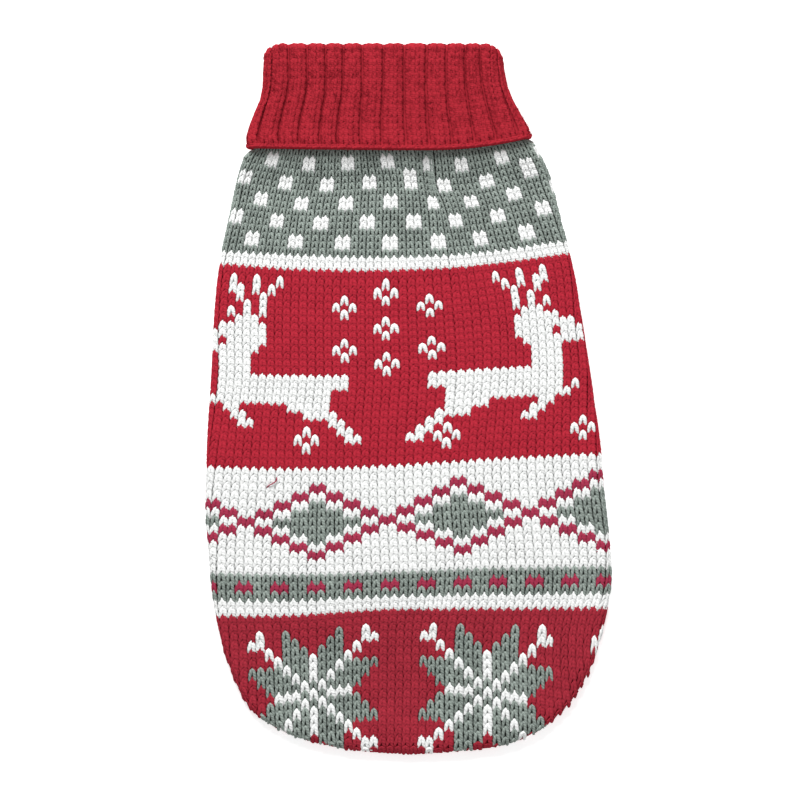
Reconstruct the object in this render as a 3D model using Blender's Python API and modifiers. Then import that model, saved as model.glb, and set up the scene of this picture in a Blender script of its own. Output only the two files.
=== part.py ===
"""A knitted pet sweater, laid flat on its belly.

Three pieces are cut and sewn: a back panel that wraps round to the underside and ends in a rounded tail
flap with a turned hem, a belly panel between the side seams with a leg opening on each side, and a ribbed
collar folded over on itself. Sizes are in millimetres. X runs across, +Y towards the collar, and Z up from
the surface it lies on.
"""

import bmesh
import bpy
import numpy as np

MM = 0.001

# Cloth
WALL = 2.6  # thickness of the knit
SEAM_GAP = 0.3  # between pieces that are sewn together or lie on each other
TUBE_GAP = 0.8  # between the upper and the lower layer of the flattened tube
BODY_HEIGHT = 2 * WALL + TUBE_GAP
FOLD_RADIUS = BODY_HEIGHT / 2
CROWN = 1.0  # how much fuller the middle of the body lies than its sides
CROWN_FADE = (-160.0, -90.0)  # y over which the crown grows, from the tail up
FLAP_SAG = 0.8  # how far the tail flap sinks where nothing lies under it
FLAP_SAG_FADE = (-100.0, -130.0)  # y over which it sinks
FLAP_HEM_FADE = (-172.0, -150.0)  # y over which it sinks again behind the hem

# Collar
COLLAR_LAYER = WALL + SEAM_GAP  # how far inside the outer layer the inner one lies
COLLAR_HEIGHT = BODY_HEIGHT + 2 * COLLAR_LAYER
COLLAR_RADIUS = COLLAR_HEIGHT / 2
COLLAR_TOP = 181.6  # y of the fold
FREE_EDGE = {"left": 127.5, "spine": 126.5, "right": 133.1}  # y of the collar's free edge
SEAM_RISE = 7.0  # how far above the free edge the hidden neck seam runs
NECK_SEAM = FREE_EDGE["spine"] + SEAM_RISE - SEAM_GAP / 2  # y of the neck seam at the spine
RIBS = 27
RIB_DEPTH = 1.2
RIB_START = 0.0265  # where the first groove runs, as a share of the way round from the left side
RIB_POINTS = (0.0, 0.15, 0.38, 0.62, 0.85)  # where a rib has points, as shares of one rib
GROOVE_WIDTH = 0.15  # as a share of one rib
CORNER_RADIUS = 8.0  # of the fold's two corners, from above

# Body
SPINE_NECK_X = 11.0  # the neck pleat runs down this line
SPINE_TAIL = (2.0, -120.0)  # x and y where the spine ends in the fan of the tail
PLEAT_DEPTH = 1.2
PLEAT_WIDTH = 4.5
PLEAT_END = 84.0  # y where the pleat has run out
NECK_LIFT_START = 108.0  # y from which the body rises to pass over the collar's lower layer
NECK_LIFT_END = 126.0
HEM_TURN = 12.0  # width of the tail's turned hem
WRAP_END = -88.0  # y where the side seams end
HEM_START = -122.0  # y from which the turned hem has its own width

# Belly panel
BELLY_MIDDLE = -2.8  # x of its middle at y 0
BELLY_LEAN = 0.0447  # how far the middle moves to -X for each millimetre of +Y
BELLY_END = -95.0
BELLY_CORNER = 14.0
LEG_CENTRE = 62.0
LEG_HALF_LENGTH = 30.0
LEG_HALF_WIDTH = 16.0

# Outline of the flat body on each side, from the neck down to the lowest point of the tail.
OUTLINE_COLUMNS = ("y", "x")
LEFT_EDGE = [
    (134.4, -80.0),
    (126.8, -79.9),
    (123.8, -84.0),
    (114.0, -87.8),
    (98.0, -91.4),
    (61.0, -98.6),
    (9.0, -102.1),
    (-49.0, -104.7),
    (-92.0, -102.1),
    (-125.4, -96.5),
    (-152.0, -86.3),
    (-164.4, -76.0),
    (-174.9, -55.6),
    (-181.0, -27.0),
    (-182.8, 0.0),
]
RIGHT_EDGE = [
    (140.0, 57.4),
    (134.0, 58.8),
    (129.8, 64.6),
    (126.0, 67.0),
    (113.7, 73.0),
    (98.0, 77.1),
    (61.0, 86.3),
    (9.0, 94.5),
    (-21.5, 98.8),
    (-49.0, 101.0),
    (-92.0, 104.7),
    (-127.5, 98.0),
    (-150.0, 87.8),
    (-162.3, 77.6),
    (-171.8, 65.6),
    (-178.6, 48.0),
    (-182.0, 20.0),
    (-182.8, 0.0),
]
# Outline of the collar on each side, from its free edge up to the fold.
COLLAR_COLUMNS = ("y", "left", "right")
COLLAR_EDGE = [
    (126.0, -83.0, 64.6),
    (133.0, -83.7, 63.7),
    (138.2, -82.4, 61.9),
    (144.4, -80.1, 58.1),
    (150.5, -77.3, 54.5),
    (156.7, -75.8, 51.5),
    (165.9, -75.4, 49.4),
    (181.6, -75.5, 48.2),
]
# Half the width of the belly panel between its seams.
BELLY_COLUMNS = ("y", "half_width")
BELLY_WIDTH = [
    (140.0, 33.0),
    (100.0, 40.0),
    (60.0, 46.0),
    (0.0, 51.0),
    (-60.0, 51.0),
    (-95.0, 49.0),
]

NECK_STATIONS = 8  # close together, where the body comes out from under the collar
NECK_SHARE = 0.075
SIDE_STATIONS = 34
TAIL_STATIONS = 34
FOLD_STEPS = 4
BELLY_ACROSS, BELLY_DOWN = 12, 46  # squares in the belly panel's grid
COLLAR_FOLD_STEPS = 5
TOP_COLUMNS = (0.1, 0.32, 0.58, 0.8, 0.91, 0.96, 1.0)  # shares of the way from the side fold to the spine
COLLAR_ROWS = (0.0, 0.12, 0.3, 0.52, 0.76, 1.0)  # shares of the way from the free edge to the fold

CLOTH_LOOKS = {  # name: colour, roughness
    "back_panel": ((0.42, 0.025, 0.045), 0.85),
    "belly_panel": ((0.42, 0.025, 0.045), 0.85),
    "collar": ((0.35, 0.02, 0.03), 0.9),
}


def smooth(value, start, end):
    """0 at start, 1 at end, with no corner at either."""
    t = np.clip((value - start) / (end - start), 0.0, 1.0)
    return t * t * (3 - 2 * t)


def column(table, columns, name):
    return np.array([row[columns.index(name)] for row in table], float)


def curve_through(points, per_span=8):
    """A smooth curve through the points, as a dense line."""
    p = np.array(points, float)
    p = np.vstack([2 * p[0] - p[1], p, 2 * p[-1] - p[-2]])
    line = []
    for a, b, c, d in zip(p, p[1:], p[2:], p[3:]):
        for t in np.linspace(0, 1, per_span, endpoint=False):
            line.append(b + (c - a) * t / 2 + (2 * a - 5 * b + 4 * c - d) * t**2 / 2
                        + (3 * b - a - 3 * c + d) * t**3 / 2)
    return np.array(line + [p[-2]])


def along(line, count):
    """The line again, as count points evenly far apart."""
    length = np.concatenate([[0], np.cumsum(np.linalg.norm(np.diff(line, axis=0), axis=1))])
    at = np.linspace(0, length[-1], count)
    return np.column_stack([np.interp(at, length, line[:, k]) for k in (0, 1)])


def outline(table):
    """One side of the body's outline as a dense line of x and y."""
    x, y = (column(table, OUTLINE_COLUMNS, name) for name in ("x", "y"))
    return curve_through(np.column_stack([x, y]))


OUTLINE = {"left": outline(LEFT_EDGE), "right": outline(RIGHT_EDGE)}


def edge_x(side, y):
    """x of the body's outline at a height above the tail's fan."""
    line = OUTLINE[side][::-1]
    return np.interp(y, line[:, 1], line[:, 0])


def collar_x(side, y):
    return np.interp(y, column(COLLAR_EDGE, COLLAR_COLUMNS, "y"), column(COLLAR_EDGE, COLLAR_COLUMNS, side))


def spine_x(y):
    return SPINE_TAIL[0] + (SPINE_NECK_X - SPINE_TAIL[0]) * smooth(y, SPINE_TAIL[1], PLEAT_END)


def lift(y):
    """How far the body rises under the collar, where it passes over the collar's lower layer."""
    return COLLAR_LAYER * smooth(y, NECK_LIFT_START, NECK_LIFT_END)


def top_height(x, y):
    """Height of the body's upper face, away from the side folds and without the pleat."""
    left, right = edge_x("left", y), edge_x("right", y)
    across = np.clip(2 * (x - left) / (right - left) - 1, -1, 1)
    crown = CROWN * (1 - across**4) * smooth(y, NECK_LIFT_END, PLEAT_END) * smooth(y, *CROWN_FADE)
    sag = FLAP_SAG * (1 - across**2) * smooth(y, *FLAP_SAG_FADE) * smooth(y, *FLAP_HEM_FADE)
    return BODY_HEIGHT + lift(y) + crown - sag


def pleat(x, y):
    """Depth of the crease that runs down from the neck."""
    ramp = smooth(y, PLEAT_END, NECK_LIFT_END)
    return PLEAT_DEPTH * ramp * np.exp(-(((x - spine_x(y)) / PLEAT_WIDTH) ** 2))


def level(share, start, spine_y, power):
    """The place on a line that runs from the outline (share 0) to the spine (share 1)."""
    x = start[0] + (spine_x(spine_y) - start[0]) * share
    y = spine_y + (start[1] - spine_y) * (1 - share) ** power
    return x, y


def neck_rise(side, x):
    """How much higher than at the spine the neck seam runs at a place across the body."""
    edge = collar_x(side, FREE_EDGE[side] + SEAM_RISE)
    return (FREE_EDGE[side] - FREE_EDGE["spine"]) * ((x - SPINE_NECK_X) / (edge - SPINE_NECK_X)) ** 2


def make_object(name, points, faces, collection):
    mesh = bpy.data.meshes.new(name)
    mesh.from_pydata([tuple(p) for p in np.array(points) * MM], [], faces)
    bm = bmesh.new()
    bm.from_mesh(mesh)
    bmesh.ops.remove_doubles(bm, verts=bm.verts, dist=1e-6)
    bmesh.ops.recalc_face_normals(bm, faces=bm.faces)
    bm.to_mesh(mesh)
    bm.free()
    return finish_object(name, mesh, collection)


def finish_object(name, mesh, collection):
    mesh.shade_smooth()
    mesh.set_sharp_from_angle(angle=np.radians(50))
    made = bpy.data.objects.new(name, mesh)
    collection.objects.link(made)
    colour, roughness = CLOTH_LOOKS[name]
    material = bpy.data.materials.new(name)
    material.use_nodes = True
    shader = material.node_tree.nodes["Principled BSDF"]
    shader.inputs["Base Color"].default_value = (*colour, 1.0)
    shader.inputs["Roughness"].default_value = roughness
    shader.inputs["Metallic"].default_value = 0.0
    mesh.materials.append(material)
    return made


def loft(name, sections, collection, closed):
    """A solid through rings of points.

    A closed one ends where it starts. An open one has rings that run out along one face and back along the
    other, with capped ends, and the far ends of its rings meet those of other rings instead of having a face
    of their own.
    """
    rows, ring = len(sections), len(sections[0])
    faces = []
    for i in range(rows if closed else rows - 1):
        for j in range(ring):
            if not closed and j == ring // 2 - 1:
                continue
            a, b = i * ring, (i + 1) % rows * ring
            k = (j + 1) % ring
            faces.append((a + j, a + k, b + k, b + j))
    if not closed:
        for start in (0, (rows - 1) * ring):
            for j in range(ring // 2 - 1):
                far = ring - 1 - j
                faces.append((start + j, start + j + 1, start + far - 1, start + far))
    return make_object(name, np.concatenate(sections), faces, collection)


# ---------------------------------------------------------------- back panel
def belly_half(y):
    down, half_width = (column(BELLY_WIDTH, BELLY_COLUMNS, name) for name in ("y", "half_width"))
    return np.interp(-y, -down, half_width)


def middle(y):
    return BELLY_MIDDLE - BELLY_LEAN * y


def leg_bite(y):
    """How far the leg opening cuts into each panel from their seam."""
    return LEG_HALF_WIDTH * np.sqrt(np.clip(1 - ((y - LEG_CENTRE) / LEG_HALF_LENGTH) ** 2, 0, 1))


def wrap(side, start, spine_y, power):
    """Width of the part of the back turned to the underside: up to the seam, or the hem at the tail."""
    if start[1] < HEM_START:
        return HEM_TURN
    out = -1 if side == "left" else 1
    reach = abs(spine_x(spine_y) - start[0])
    width = reach / 2
    for _ in range(6):
        y = level(width / reach, start, spine_y, power)[1]
        seam = middle(y) + out * (belly_half(y) + SEAM_GAP / 2 + leg_bite(y))
        width = abs(seam - start[0])
    return HEM_TURN + (width - HEM_TURN) * smooth(start[1], HEM_START, WRAP_END)


def back_section(start, spine_y, width, power):
    """A ring of points: the outer face from below round the fold to the spine, and the inner face back."""
    r, thin = FOLD_RADIUS, FOLD_RADIUS - WALL
    reach = np.linalg.norm(np.array([spine_x(spine_y), spine_y]) - start)

    def place(distance, height):
        x, y = level(distance / reach, start, spine_y, power)
        return x, y, height + lift(y)

    outer = [place(d, 0.0) for d in (width, (width + r) / 2)]
    inner = [place(d, WALL) for d in (width, (width + r) / 2)]
    for a in np.linspace(-np.pi / 2, np.pi / 2, FOLD_STEPS + 1):
        outer.append(place(r - r * np.cos(a), r + r * np.sin(a)))
        inner.append(place(r - thin * np.cos(a), r + thin * np.sin(a)))
    for share in TOP_COLUMNS:
        x, y = level((r + (reach - r) * share) / reach, start, spine_y, power)
        top = top_height(x, y)
        outer.append((x, y, top - pleat(x, y)))
        inner.append((x, y, top - WALL))
    return outer + inner[::-1]


def back_panel(collection):
    stations = []
    shares = np.concatenate([np.linspace(0, NECK_SHARE, NECK_STATIONS, endpoint=False),
                             np.linspace(NECK_SHARE, 1, SIDE_STATIONS)])
    for side in ("left", "right"):
        neck_y = NECK_SEAM + neck_rise(side, edge_x(side, FREE_EDGE[side] + SEAM_RISE))
        down = []
        for share in shares:
            y = neck_y + (SPINE_TAIL[1] - neck_y) * share
            spine_y = NECK_SEAM + (SPINE_TAIL[1] - NECK_SEAM) * share
            start = np.array([edge_x(side, y), y])
            down.append(back_section(start, spine_y, wrap(side, start, spine_y, 2), 2))
        stations.append(down)
    left, right = stations
    turn = np.vstack([part[part[:, 1] < SPINE_TAIL[1]] for part in (OUTLINE["left"], OUTLINE["right"][::-1])])
    ends = [np.array([edge_x(side, SPINE_TAIL[1]), SPINE_TAIL[1]]) for side in ("left", "right")]
    line = along(np.vstack([ends[0], turn, ends[1]]), TAIL_STATIONS)[1:-1]
    tail = [back_section(start, SPINE_TAIL[1], HEM_TURN, 1) for start in line]
    return loft("back_panel", left + tail + right[::-1], collection, closed=False)


# --------------------------------------------------------------- belly panel
def belly_panel(collection):
    """A flat sheet between the seams, given its thickness by Solidify."""
    bm = bmesh.new()
    bmesh.ops.create_grid(bm, x_segments=BELLY_ACROSS, y_segments=BELLY_DOWN, size=1.0)
    for v in bm.verts:
        share = v.co.x
        flat_y = y = BELLY_END + (NECK_SEAM - BELLY_END) * (v.co.y + 1) / 2
        corner = max(0.0, BELLY_END + BELLY_CORNER - y)
        inset = BELLY_CORNER - np.sqrt(max(0.0, BELLY_CORNER**2 - corner**2))
        for _ in range(4):
            half = belly_half(y) - SEAM_GAP - leg_bite(y) - inset
            x = middle(y) + share * half
            side = "left" if x < spine_x(y) else "right"
            y = flat_y + neck_rise(side, x) * smooth(flat_y, LEG_CENTRE, NECK_SEAM)
        v.co = (x * MM, y * MM, (WALL + lift(y)) * MM)
    mesh = bpy.data.meshes.new("belly_panel")
    bm.to_mesh(mesh)
    bm.free()
    panel = finish_object("belly_panel", mesh, collection)
    thickness = panel.modifiers.new("thickness", "SOLIDIFY")
    thickness.thickness = WALL * MM
    thickness.offset = -1.0
    return panel


# -------------------------------------------------------------------- collar
def groove(share):
    """Depth of the rib's groove at a place round the collar."""
    phase = (share - RIB_START) * RIBS
    away = np.abs(phase - np.round(phase))
    return RIB_DEPTH * np.exp(-((away / GROOVE_WIDTH) ** 2))


def round_collar():
    """Places round the collar, as shares of the way round: the same few on every rib."""
    return [(k + p) / RIBS + RIB_START for k in range(RIBS) for p in RIB_POINTS]


def collar_line(x, ends, spine_y):
    """y of a line across the collar that runs through its two sides and the spine."""
    side = 0 if x < SPINE_NECK_X else 1
    edge_at, y_at = ends[side]
    reach = (x - SPINE_NECK_X) / (edge_at - SPINE_NECK_X)
    return spine_y + (y_at - spine_y) * reach**2


def fold_drop(x, left, right):
    """How much lower the fold runs in its rounded corners."""
    near = max(0.0, CORNER_RADIUS - min(x - left, right - x))
    return CORNER_RADIUS - np.sqrt(max(0.0, CORNER_RADIUS**2 - min(near, CORNER_RADIUS) ** 2))


def ring_place(share, left, right, inside):
    """x and z on the flattened tube whose outer face is the collar's, moved inside it by a distance."""
    big, r = COLLAR_RADIUS, COLLAR_RADIUS - inside
    flat, arc = right - left - 2 * big, np.pi * big
    s = share % 1.0 * 2 * (flat + arc)
    if s < arc / 2:
        a = s / big
        return left + big - r * np.cos(a), big + r * np.sin(a)
    s -= arc / 2
    if s < flat:
        return left + big + s, big + r
    s -= flat
    if s < arc:
        a = s / big
        return right - big + r * np.sin(a), big + r * np.cos(a)
    s -= arc
    if s < flat:
        return right - big - s, big - r
    a = (s - flat) / big
    return left + big - r * np.sin(a), big - r * np.cos(a)


def collar_point(share, rise, inside, beyond=0.0, raised=0.0):
    """A place on the collar: rise is 0 at the free edge and 1 at the fold, and the rest are millimetres."""
    centre = COLLAR_TOP - COLLAR_LAYER + SEAM_GAP / 2
    ends = []
    for side in ("left", "right"):
        low = FREE_EDGE[side] + raised
        y = low + (centre - CORNER_RADIUS - low) * rise
        ends.append((collar_x(side, y), low))
    left, right = ends[0][0], ends[1][0]
    x, z = ring_place(share, left, right, inside)
    low = collar_line(np.clip(x, left, right), ends, FREE_EDGE["spine"] + raised)
    high = centre - fold_drop(x, left, right)
    return x, low + (high - low) * rise + beyond, z


def ribbed_ring(shares, rise, bend):
    """Points on the collar's ribbed face. bend is 0 on the outer layer and pi when over the fold."""
    half = COLLAR_LAYER - SEAM_GAP / 2
    fade = 1.0 if bend == 0 else max((1 + np.cos(bend)) / 2, 0.5)
    points = []
    for share in shares:
        r = half - groove(share) * fade
        points.append(collar_point(share, rise, half - r * np.cos(bend), r * np.sin(bend)))
    return points


def plain_ring(shares, rise, inside, beyond=0.0, raised=0.0):
    return [collar_point(share, rise, inside, beyond, raised) for share in shares]


def collar(collection):
    """One strip of rings: up the outer layer, over the fold, down the inner layer and back between them."""
    shares = round_collar()
    half = COLLAR_LAYER - SEAM_GAP / 2
    seam = SEAM_RISE + SEAM_GAP / 2
    rings = [ribbed_ring(shares, rise, 0.0) for rise in COLLAR_ROWS]
    rings += [ribbed_ring(shares, 1.0, bend) for bend in np.linspace(0, np.pi, COLLAR_FOLD_STEPS + 1)[1:-1]]
    rings.append(plain_ring(shares, 1.0, 2 * half))
    rings.append(plain_ring(shares, 0.0, 2 * half, raised=seam))
    rings.append(plain_ring(shares, 0.0, COLLAR_LAYER, raised=seam))
    rings.append(plain_ring(shares, 1.0, COLLAR_LAYER))
    rings.append(plain_ring(shares, 1.0, half, beyond=SEAM_GAP / 2))
    rings += [plain_ring(shares, rise, WALL) for rise in COLLAR_ROWS[::-1]]
    return loft("collar", rings, collection, closed=True)


def main():
    for thing in list(bpy.data.objects):
        bpy.data.objects.remove(thing, do_unlink=True)
    collection = bpy.data.collections.new("christmas_sweater")
    bpy.context.scene.collection.children.link(collection)
    back_panel(collection)
    belly_panel(collection)
    collar(collection)


main()
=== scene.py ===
"""Dresses the flat pet sweater: knitted cloth and its stitches, ribbed collar, seams, stage and camera.

It is laid out as an add-on and is run as a script. Each operator makes one piece of the garment, or a group
of like pieces, in the frame of the solids that it covers. Sizes in the tables are in millimetres, in the
garment's frame: X across, +Y towards the collar, Z up.
"""

import math

import bmesh
import bpy
import numpy as np
from bpy.props import FloatProperty, FloatVectorProperty, IntProperty, PointerProperty
from bpy.types import Operator, Panel, PropertyGroup
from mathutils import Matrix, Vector


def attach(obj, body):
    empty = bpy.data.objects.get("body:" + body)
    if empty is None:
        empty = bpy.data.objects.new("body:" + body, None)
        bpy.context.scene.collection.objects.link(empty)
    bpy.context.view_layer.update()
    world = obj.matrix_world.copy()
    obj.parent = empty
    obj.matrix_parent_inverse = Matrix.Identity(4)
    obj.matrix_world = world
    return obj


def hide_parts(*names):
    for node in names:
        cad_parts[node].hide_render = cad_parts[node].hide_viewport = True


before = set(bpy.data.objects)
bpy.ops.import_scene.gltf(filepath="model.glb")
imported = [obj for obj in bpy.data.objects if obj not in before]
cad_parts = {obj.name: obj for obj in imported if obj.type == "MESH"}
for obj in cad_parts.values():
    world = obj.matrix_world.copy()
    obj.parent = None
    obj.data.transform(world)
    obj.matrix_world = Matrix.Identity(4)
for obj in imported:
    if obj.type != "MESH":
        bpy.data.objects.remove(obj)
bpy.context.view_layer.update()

bl_info = {
    "name": "Knitted pet sweater",
    "version": (1, 0, 0),
    "blender": (4, 5, 0),
    "location": "View3D > Sidebar > Sweater",
    "description": "Makes a flat knitted pet sweater with a ribbed collar, stitch by stitch",
    "category": "Object",
}

MM = 0.001

# ------------------------------------------------------------------ the garment's form, in millimetres
WALL = 2.6
SEAM_GAP = 0.3
TUBE_GAP = 0.8  # between the body's two layers
BODY_HEIGHT = 2 * WALL + TUBE_GAP
FOLD_RADIUS = BODY_HEIGHT / 2
CROWN = 1.0  # how much higher the body is in the middle than at its sides
CROWN_FADE = (-160.0, -90.0)  # y between which it rises
FLAP_SAG = 0.8  # how much lower the tail flap is there
FLAP_SAG_FADE = (-100.0, -130.0)  # y between which it sinks
FLAP_HEM_FADE = (-172.0, -150.0)  # y between which it comes up again at the hem
COLLAR_LAYER = WALL + SEAM_GAP
COLLAR_RADIUS = FOLD_RADIUS + COLLAR_LAYER
COLLAR_TOP = 181.6
FREE_EDGE = {"left": 127.5, "spine": 126.5, "right": 133.1}  # y of the collar's free edge
SEAM_RISE = 7.0  # from there up to the seam at the neck
NECK_SEAM = FREE_EDGE["spine"] + SEAM_RISE - SEAM_GAP / 2
RIBS = 27
RIB_DEPTH = 1.5
CORNER_WIDTH, CORNER_DROP = 11.0, 8.0  # of the fold's rounded corners
NECK_CORNERS = {"left": -83.0, "right": 61.5}  # x of the neck seam's ends
SPINE_X = 11.0  # of the pleat, where the free edge is lowest
PLEAT_DEPTH = 1.2
PLEAT_WIDTH = 4.5
PLEAT_END = 84.0  # y where it has faded out
NECK_LIFT_START, NECK_LIFT_END = 108.0, 126.0  # y between which the body rises over the collar's lower layers
HEM_TURN = 12.0  # width of the hem at the tail's end
WRAP_END, HEM_START = -88.0, -122.0  # y between which the part turned under narrows to the tail's hem
LEVEL_FOLD = (-125.0, -95.0)  # y between which the fold's way out turns level
BELLY_MIDDLE, BELLY_LEAN = -2.8, 0.0447  # x of its middle line at y 0, and how far that goes left for each y
BELLY_END = -95.0
BELLY_CORNER = 14.0  # radius
LEG_CENTRE, LEG_HALF_LENGTH, LEG_HALF_WIDTH = 62.0, 30.0, 16.0  # the first is y

# The flat body's outline on each side, from the neck down to the tail's lowest point: y, x.
LEFT_EDGE = [
    (134.4, -80.0), (126.8, -79.9), (123.8, -84.0), (114.0, -87.8), (98.0, -91.4), (61.0, -98.6),
    (9.0, -102.1), (-49.0, -104.7), (-92.0, -102.1), (-125.4, -96.5), (-152.0, -86.3), (-164.4, -76.0),
    (-174.9, -55.6), (-181.0, -27.0), (-182.8, 0.0),
]
RIGHT_EDGE = [
    (140.0, 57.4), (134.0, 58.8), (129.8, 64.6), (126.0, 67.0), (113.7, 73.0), (98.0, 77.1), (61.0, 86.3),
    (9.0, 94.5), (-21.5, 98.8), (-49.0, 101.0), (-92.0, 104.7), (-127.5, 98.0), (-150.0, 87.8),
    (-162.3, 77.6), (-171.8, 65.6), (-178.6, 48.0), (-182.0, 20.0), (-182.8, 0.0),
]
# The collar's outline from its free edge to the fold: y, left x, right x.
COLLAR_EDGE = [(126.0, -83.0, 64.6), (133.0, -83.4, 63.7), (138.2, -81.9, 61.9), (144.4, -79.3, 57.8),
               (150.5, -76.4, 54.0), (156.7, -74.9, 50.9), (165.9, -74.5, 48.7), (181.6, -74.6, 47.7)]
# Half the belly panel's width between its seams: y, half width.
BELLY_WIDTH = [(140.0, 33.0), (100.0, 40.0), (60.0, 46.0), (0.0, 51.0), (-60.0, 51.0), (-95.0, 49.0)]

# ------------------------------------------------------------------ how the knit lies on it
# x of the edges between wales, at some courses. The wale after 6 is pinched in the pleat.
WALE_COLUMNS = (-24, -12, 0, 6, 7.5, 12, 18, 24)
WALE_TABLE = [
    (2, -88.5, -51.0, -11.0, 11.0, 12.0, 27.0, 47.5, 68.0),
    (5, -94.0, -52.5, -9.0, 11.5, 13.0, 29.0, 51.0, 73.0),
    (8, -96.0, -55.0, -9.0, 13.5, 16.5, 32.0, 54.0, 76.5),
    (14, -102.0, -58.0, -9.5, 15.5, 21.0, 36.5, 60.5, 84.5),
    (20, -107.5, -60.0, -9.5, 17.0, 24.0, 43.0, 67.0, 90.5),
    (26, -109.5, -60.5, -9.5, 18.5, 26.0, 46.5, 69.5, 92.5),
    (32, -109.5, -60.5, -9.0, 19.5, 27.0, 47.0, 71.0, 95.5),
    (38, -112.0, -62.7, -10.4, 18.0, 25.3, 45.0, 70.2, 95.7),
    (44, -116.5, -63.5, -11.5, 16.5, 23.5, 43.0, 69.5, 96.0),
    (60, -120.5, -66.0, -9.5, 18.0, 25.0, 45.5, 73.5, 99.5),
    (65, -118.0, -65.0, -10.5, 14.5, 21.5, 43.0, 70.5, 93.5),
    (72, -118.0, -64.0, -11.0, 13.5, 21.0, 43.0, 70.0, 97.0),
]
# y of a course's upper edge, at some wales.
COURSE_COLUMNS = (-21, -12, 0, 12, 21)
COURSE_ENDS = (-25.0, 26.0)  # beyond these wales a course runs on level
COURSE_TABLE = [
    (0, 129.5, 126.5, 127.5, 126.0, 131.0),
    (5, 113.0, 109.0, 110.5, 109.0, 116.0),
    (11, 93.0, 89.5, 90.0, 91.5, 97.0),
    (16, 75.0, 73.0, 72.0, 74.5, 79.5),
    (18, 68.0, 65.5, 65.0, 68.0, 73.0),
    (20, 58.5, 56.7, 55.5, 59.5, 65.2),
    (24, 42.8, 41.1, 40.8, 44.6, 49.3),
    (32, 12.5, 11.2, 11.8, 15.0, 17.0),
    (36, -2.4, -3.6, -3.5, -0.2, 1.7),
    (44, -35.5, -36.5, -35.0, -31.5, -29.5),
    (54, -77.5, -79.0, -77.5, -75.0, -74.0),
    (57, -90.0, -91.0, -89.5, -87.5, -87.0),
    (60, -103.5, -104.0, -101.5, -100.5, -100.2),
    (62, -112.0, -112.0, -108.5, -108.4, -108.1),
    (72, -161.5, -156.5, -150.5, -154.0, -162.5),
    (80, -198.0, -193.5, -188.0, -191.5, -200.0),
]

# ------------------------------------------------------------------ what is knitted: the chart
RED, WHITE, GREY, FLAKE = range(4)  # a flake is a white stitch that stands alone in its course
DOT_START, STRIPE_ONE, DEER_START, DIAMOND_START = 0, 16, 18, 44
DASH_START, STRIPE_TWO, STAR_START = 57, 60, 62
DOT_ROWS, DOT_COURSES, DOT_WALES, DOT_SIZE = 5, 3, 6, 2  # rows, their repeat each way, and a dot's side
TALL_DOT_COURSE, TALL_DOT_WALES = 3, (2, 20)  # dots that start a course early
DIAMOND_COURSE, DIAMOND_REPEAT, DIAMOND_HEIGHT = 50, 16, 4  # its middle, its wales, and courses up to its tip
DASH_REPEAT, DASH_LENGTH = 4, 2
STAR_COURSE, STAR_WALE, STAR_REPEAT = 71, 11, 20
STAR_ARM, STAR_CROSS = 7, (2, 4)  # where the slanting arms end, and where the straight ones start and end
PETAL_WIDTH, PETAL_LENGTH = 3, 4
DEER_WALE = 2  # wale of the chart's first column
MIRROR_WALE = -1  # the second deer is the first one's mirror image about the middle of this wale
# One deer from its antlers down. The o is its eye, which stays red.
DEER = [
    "......................",
    "..........#..#..#.....",
    "...........#.#.##.....",
    "............#..#......",
    "............#.#.......",
    "............#.#.#.....",
    ".............###......",
    "............######....",
    "............########..",
    "............#####o###.",
    ".............########.",
    "..............####....",
    "..............####....",
    "..............####....",
    "..################....",
    "..################....",
    "....##############.#..",
    "....###############...",
    "....#####......##.....",
    "...####.......##......",
    "..##.........##.......",
    ".##...................",
    "##....................",
]
# Wale and course of the middle of each flake.
FLAKES = [(-1, 20), (-6, 22), (4, 22), (-1, 25), (-6, 28), (4, 28), (-1, 30), (-10, 40), (6, 40), (22, 40)]


def smooth(value, start, end):
    """0 at the start and 1 at the end, with no corner at either."""
    t = np.clip((value - start) / (end - start), 0.0, 1.0)
    return t * t * (3 - 2 * t)


def dots(wale, course):
    """White dots on grey, in rows that are set half a repeat apart."""
    row, part = divmod(course - DOT_START - 1, DOT_COURSES)
    shift = DOT_WALES // 2 if row % 2 else 0
    if course == TALL_DOT_COURSE and any(wale in (w, w + 1) for w in TALL_DOT_WALES):
        return WHITE
    inside = part < DOT_SIZE and (wale - shift + 1) % DOT_WALES < DOT_SIZE
    return WHITE if inside and 0 <= row < DOT_ROWS else GREY


def deer(wale, course):
    """Two white deer, mirror images of each other, and small flakes, on red."""
    row = course - DEER_START
    for column in (wale - DEER_WALE, 2 * MIRROR_WALE - wale - DEER_WALE):
        if 0 <= row < len(DEER) and 0 <= column < len(DEER[0]) and DEER[row][column] == "#":
            return WHITE
    if any(abs(wale - w) + abs(course - c) == 1 for w, c in FLAKES):
        return WHITE
    return RED


def diamonds(wale, course):
    """Grey diamonds on white, each in a red outline that stands off from it."""
    half = DIAMOND_REPEAT / 2
    away = abs((wale + 0.5) % DIAMOND_REPEAT - half)
    pair, up = int((away + 0.5) // 2), abs(course - DIAMOND_COURSE)
    if up == DIAMOND_HEIGHT - pair:
        return RED
    return GREY if up < DIAMOND_HEIGHT - 1 - pair else WHITE


def dashes(wale, course):
    """One row of red dashes on grey."""
    return RED if course == DASH_START + 1 and (wale + 1) % DASH_REPEAT < DASH_LENGTH else GREY


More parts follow.
